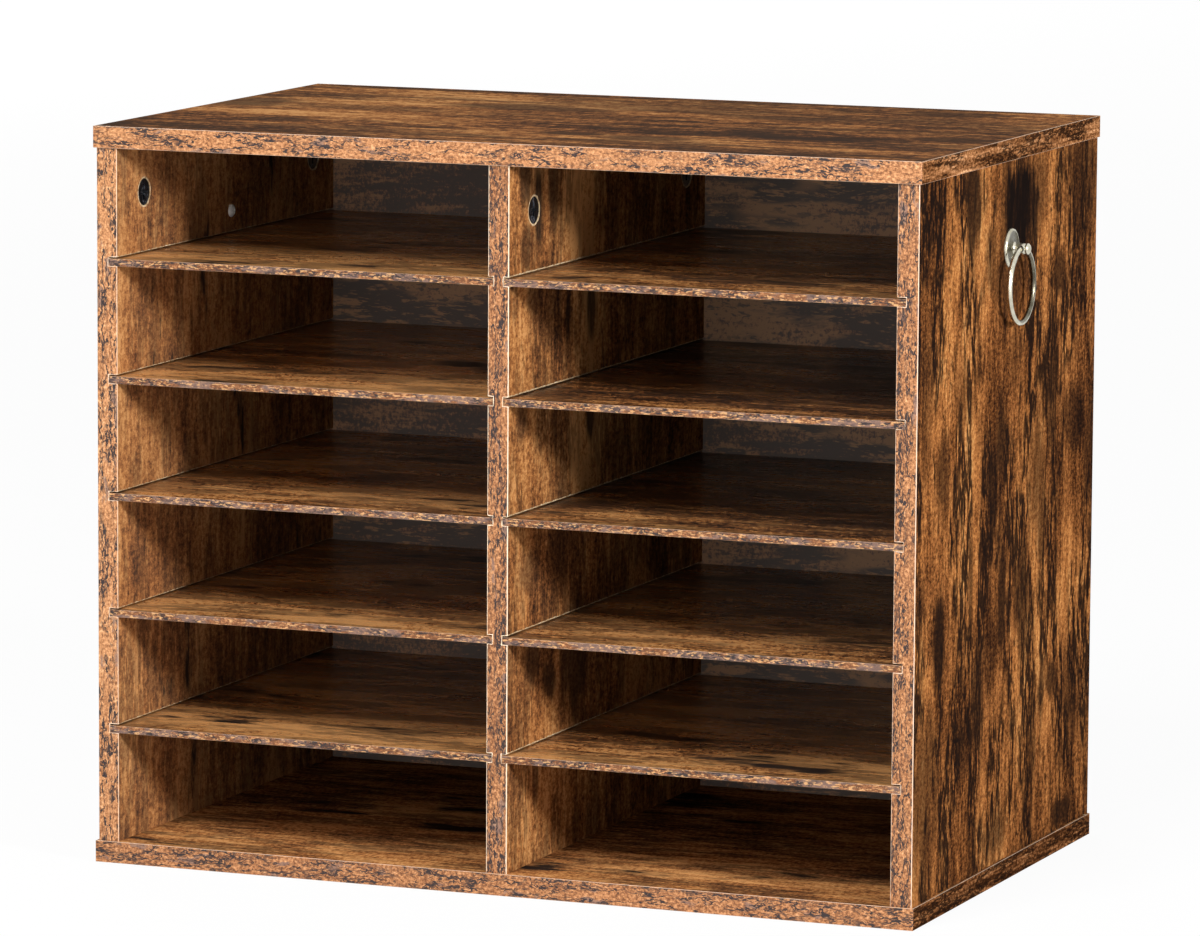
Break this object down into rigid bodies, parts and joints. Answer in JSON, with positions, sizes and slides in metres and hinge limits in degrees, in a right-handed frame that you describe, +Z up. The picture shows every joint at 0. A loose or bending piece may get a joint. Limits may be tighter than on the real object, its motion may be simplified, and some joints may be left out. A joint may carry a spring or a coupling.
{
  "type": "literature organizer",
  "caption": "Open-fronted desktop literature organizer: two columns of equal pigeonholes with thin shelves that slide in grooves, and a hanging ring pull on each side.",
  "frame": {"origin": "middle of the footprint, on the surface that the organizer stands on", "axes": "+X along the width, to the right as seen from the open front; -Y out of the open front; +Z up"},
  "size_m": [0.5006, 0.3, 0.409],
  "materials": {
    "laminated_board": "rustic brown wood-print laminate on particleboard, satin",
    "edge_band": "orange-brown printed edge band with dark cracks, satin",
    "back_hardboard": "printed hardboard, brown, dull",
    "cam_black": "black die-cast zinc",
    "plated_steel": "zinc-plated steel",
    "dowel_wood": "plain beech",
    "antique_nickel": "antique nickel plate, worn bright on the high places"
  },
  "bodies": {
    "carcass": {"back_panel": "back_hardboard", "bottom_panel": "laminated_board", "bottom_panel_front_band": "edge_band", "bottom_panel_left_band": "edge_band", "bottom_panel_rear_band": "edge_band", "bottom_panel_right_band": "edge_band", "bottom_screws": "plated_steel", "cam_bolts": "plated_steel", "centre_divider": "laminated_board", "centre_divider_cam_locks": "cam_black", "centre_divider_front_band": "edge_band", "left_pull_plate": "antique_nickel", "left_pull_post": "antique_nickel", "left_pull_screw": "plated_steel", "left_side_cam_locks": "cam_black", "left_side_front_band": "edge_band", "left_side_panel": "laminated_board", "right_pull_plate": "antique_nickel", "right_pull_post": "antique_nickel", "right_pull_screw": "plated_steel", "right_side_cam_locks": "cam_black", "right_side_front_band": "edge_band", "right_side_panel": "laminated_board", "top_panel": "laminated_board", "top_panel_front_band": "edge_band", "top_panel_left_band": "edge_band", "top_panel_rear_band": "edge_band", "top_panel_right_band": "edge_band", "wooden_dowels": "dowel_wood"},
    "left_shelf_1": {"left_shelf_1": "laminated_board", "left_shelf_1_front_band": "edge_band"},
    "left_shelf_2": {"left_shelf_2": "laminated_board", "left_shelf_2_front_band": "edge_band"},
    "left_shelf_3": {"left_shelf_3": "laminated_board", "left_shelf_3_front_band": "edge_band"},
    "left_shelf_4": {"left_shelf_4": "laminated_board", "left_shelf_4_front_band": "edge_band"},
    "left_shelf_5": {"left_shelf_5": "laminated_board", "left_shelf_5_front_band": "edge_band"},
    "right_shelf_1": {"right_shelf_1": "laminated_board", "right_shelf_1_front_band": "edge_band"},
    "right_shelf_2": {"right_shelf_2": "laminated_board", "right_shelf_2_front_band": "edge_band"},
    "right_shelf_3": {"right_shelf_3": "laminated_board", "right_shelf_3_front_band": "edge_band"},
    "right_shelf_4": {"right_shelf_4": "laminated_board", "right_shelf_4_front_band": "edge_band"},
    "right_shelf_5": {"right_shelf_5": "laminated_board", "right_shelf_5_front_band": "edge_band"},
    "left_pull_ring": {"left_pull_ring": "antique_nickel"},
    "right_pull_ring": {"right_pull_ring": "antique_nickel"}
  },
  "joints": [
    {"name": "left_shelf_1_slide", "type": "slide", "parent": "carcass", "child": "left_shelf_1", "axis": [0, -1, 0], "range_m": [0, 0.285]},
    {"name": "left_shelf_2_slide", "type": "slide", "parent": "carcass", "child": "left_shelf_2", "axis": [0, -1, 0], "range_m": [0, 0.285]},
    {"name": "left_shelf_3_slide", "type": "slide", "parent": "carcass", "child": "left_shelf_3", "axis": [0, -1, 0], "range_m": [0, 0.285]},
    {"name": "left_shelf_4_slide", "type": "slide", "parent": "carcass", "child": "left_shelf_4", "axis": [0, -1, 0], "range_m": [0, 0.285]},
    {"name": "left_shelf_5_slide", "type": "slide", "parent": "carcass", "child": "left_shelf_5", "axis": [0, -1, 0], "range_m": [0, 0.285]},
    {"name": "right_shelf_1_slide", "type": "slide", "parent": "carcass", "child": "right_shelf_1", "axis": [0, -1, 0], "range_m": [0, 0.285]},
    {"name": "right_shelf_2_slide", "type": "slide", "parent": "carcass", "child": "right_shelf_2", "axis": [0, -1, 0], "range_m": [0, 0.285]},
    {"name": "right_shelf_3_slide", "type": "slide", "parent": "carcass", "child": "right_shelf_3", "axis": [0, -1, 0], "range_m": [0, 0.285]},
    {"name": "right_shelf_4_slide", "type": "slide", "parent": "carcass", "child": "right_shelf_4", "axis": [0, -1, 0], "range_m": [0, 0.285]},
    {"name": "right_shelf_5_slide", "type": "slide", "parent": "carcass", "child": "right_shelf_5", "axis": [0, -1, 0], "range_m": [0, 0.285]},
    {"name": "left_ring_swing", "type": "hinge", "parent": "carcass", "child": "left_pull_ring", "pos_m": [-0.2452, 0, 0.349], "axis": [0, 1, 0], "range_deg": [-6.8, 186.8]},
    {"name": "right_ring_swing", "type": "hinge", "parent": "carcass", "child": "right_pull_ring", "pos_m": [0.2452, 0, 0.349], "axis": [0, -1, 0], "range_deg": [-6.8, 186.8]}
  ]
}
